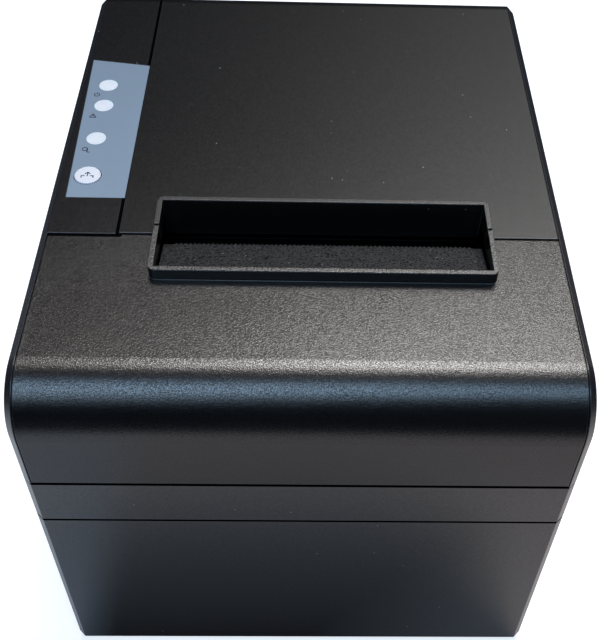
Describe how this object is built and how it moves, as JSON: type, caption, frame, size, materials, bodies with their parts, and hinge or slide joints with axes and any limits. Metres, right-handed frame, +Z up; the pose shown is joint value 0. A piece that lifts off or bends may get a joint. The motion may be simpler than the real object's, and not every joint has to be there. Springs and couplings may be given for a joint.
{
  "type": "receipt printer",
  "caption": "Black desktop receipt printer with a hinged paper cover, grained front cover, raised paper-exit rim with a serrated tear bar, and a control strip.",
  "frame": {"origin": "middle of the footprint, on the table surface under the feet", "axes": "+X to the printer's right-hand side as seen from its front, +Y from the front to the rear, +Z up"},
  "size_m": [0.145, 0.183, 0.1317],
  "materials": {
    "case_black": "moulded ABS, fine matte texture",
    "cover_grain": "moulded ABS, coarse spark-eroded grain",
    "cover_matte": "moulded ABS, fine matte grain",
    "tear_black": "black plastic, matte",
    "label_film": "printed film, satin",
    "lens_white": "clear white light pipe",
    "button_white": "satin plastic key",
    "inner_black": "black moulded plastic",
    "socket_black": "black socket housing",
    "socket_steel": "tinned shell",
    "frame_steel": "zinc plated sheet",
    "blade_steel": "ground hardened steel",
    "shaft_steel": "ground steel",
    "platen_rubber": "ground rubber sleeve",
    "foot_rubber": "soft rubber",
    "gear_white": "moulded acetal",
    "motor_can": "plated can",
    "sink_aluminium": "extruded",
    "head_ceramic": "glazed ceramic strip",
    "board_green": "circuit board",
    "light_white": "light source",
    "screw_zinc": "zinc plated",
    "lever_black": "black acetal",
    "rocker_black": "gloss key"
  },
  "bodies": {
    "case": {"lower_case": "case_black", "upper_case": "case_black", "front_cover": "cover_grain", "tear_bar": "tear_black", "control_label": "label_film", "status_windows": "lens_white", "paper_well": "inner_black", "paper_guide": "inner_black", "paper_sensor": "inner_black", "cover_switch": "inner_black", "tact_switch": "inner_black", "power_socket": "socket_black", "drawer_socket": "socket_black", "usb_socket": "socket_steel", "network_socket": "socket_steel", "interface_plate": "socket_steel", "mech_frame": "frame_steel", "cutter_frame": "frame_steel", "hinge_pins": "shaft_steel", "idler_pins": "shaft_steel", "head_pivot_pin": "shaft_steel", "rubber_feet": "foot_rubber", "feed_motor": "motor_can", "cutter_motor": "motor_can", "main_board": "board_green", "panel_board": "board_green", "panel_lights": "light_white", "case_screws": "screw_zinc", "mech_screws": "screw_zinc", "board_screws": "screw_zinc", "panel_screws": "screw_zinc", "switch_body": "lever_black"},
    "paper_cover": {"paper_cover": "cover_matte", "platen_bracket": "frame_steel", "platen_bushes": "gear_white", "fixed_blade": "blade_steel"},
    "platen": {"platen_roller": "platen_rubber", "platen_shaft": "shaft_steel", "platen_gear": "gear_white"},
    "idler": {"idler_gear": "gear_white"},
    "second_idler": {"second_idler_gear": "gear_white"},
    "feed_rotor": {"feed_pinion": "gear_white"},
    "print_head": {"heat_sink": "sink_aluminium", "print_head": "head_ceramic", "head_springs": "frame_steel"},
    "moving_blade": {"moving_blade": "blade_steel"},
    "cutter_shaft": {"cutter_shaft": "shaft_steel", "rack_pinions": "gear_white", "cutter_gear": "gear_white"},
    "cutter_rotor": {"cutter_motor_pinion": "gear_white"},
    "release_lever": {"latch_shaft": "shaft_steel", "latch_hooks": "frame_steel", "release_lever": "lever_black"},
    "feed_button": {"feed_button": "button_white"},
    "power_rocker": {"power_rocker": "rocker_black"}
  },
  "joints": [
    {"name": "paper_cover_hinge", "type": "hinge", "parent": "case", "child": "paper_cover", "pos_m": [0, 0.0877, 0.097], "axis": [-1, 0, 0], "range_deg": [0, 90]},
    {"name": "platen_spin", "type": "hinge", "parent": "paper_cover", "child": "platen", "pos_m": [0, -0.0243, 0.104], "axis": [1, 0, 0], "continuous": true},
    {"name": "idler_spin", "type": "hinge", "parent": "case", "child": "idler", "pos_m": [0, -0.02569, 0.08405], "axis": [1, 0, 0], "continuous": true},
    {"name": "second_idler_spin", "type": "hinge", "parent": "case", "child": "second_idler", "pos_m": [0, -0.04917, 0.07906], "axis": [1, 0, 0], "continuous": true},
    {"name": "feed_motor_spin", "type": "hinge", "parent": "case", "child": "feed_rotor", "pos_m": [0, -0.06547, 0.075], "axis": [1, 0, 0], "continuous": true},
    {"name": "print_head_tilt", "type": "hinge", "parent": "case", "child": "print_head", "pos_m": [0, -0.0367, 0.083], "axis": [1, 0, 0], "range_deg": [0, 2], "stiffness_Nm_per_rad": 2},
    {"name": "blade_slide", "type": "slide", "parent": "case", "child": "moving_blade", "axis": [0, 1, 0], "range_m": [0, 0.00754]},
    {"name": "cutter_shaft_turn", "type": "hinge", "parent": "case", "child": "cutter_shaft", "pos_m": [0, -0.0595, 0.1049], "axis": [-1, 0, 0], "range_deg": [0, 77.34]},
    {"name": "cutter_motor_spin", "type": "hinge", "parent": "case", "child": "cutter_rotor", "pos_m": [0, -0.067, 0.09191], "axis": [-1, 0, 0], "range_deg": [-309.37, 0]},
    {"name": "release_lever_turn", "type": "hinge", "parent": "case", "child": "release_lever", "pos_m": [0, -0.044, 0.096], "axis": [1, 0, 0], "range_deg": [0, 12], "stiffness_Nm_per_rad": 0.3},
    {"name": "feed_button_press", "type": "slide", "parent": "case", "child": "feed_button", "axis": [0, 0, -1], "range_m": [0, 0.0005], "stiffness_N_per_m": 600},
    {"name": "power_rocker_tilt", "type": "hinge", "parent": "case", "child": "power_rocker", "pos_m": [-0.0675, 0.045, 0.046], "axis": [0, 0, 1], "range_deg": [0, 14]}
  ],
  "couplings": [
    {"joint": "idler_spin", "follows": "platen_spin", "ratio": -0.66667},
    {"joint": "second_idler_spin", "follows": "platen_spin", "ratio": 0.66667},
    {"joint": "feed_motor_spin", "follows": "platen_spin", "ratio": -1.6667},
    {"joint": "cutter_shaft_turn", "follows": "blade_slide", "rad_per_m": 178.57},
    {"joint": "cutter_motor_spin", "follows": "blade_slide", "rad_per_m": -714.29}
  ]
}
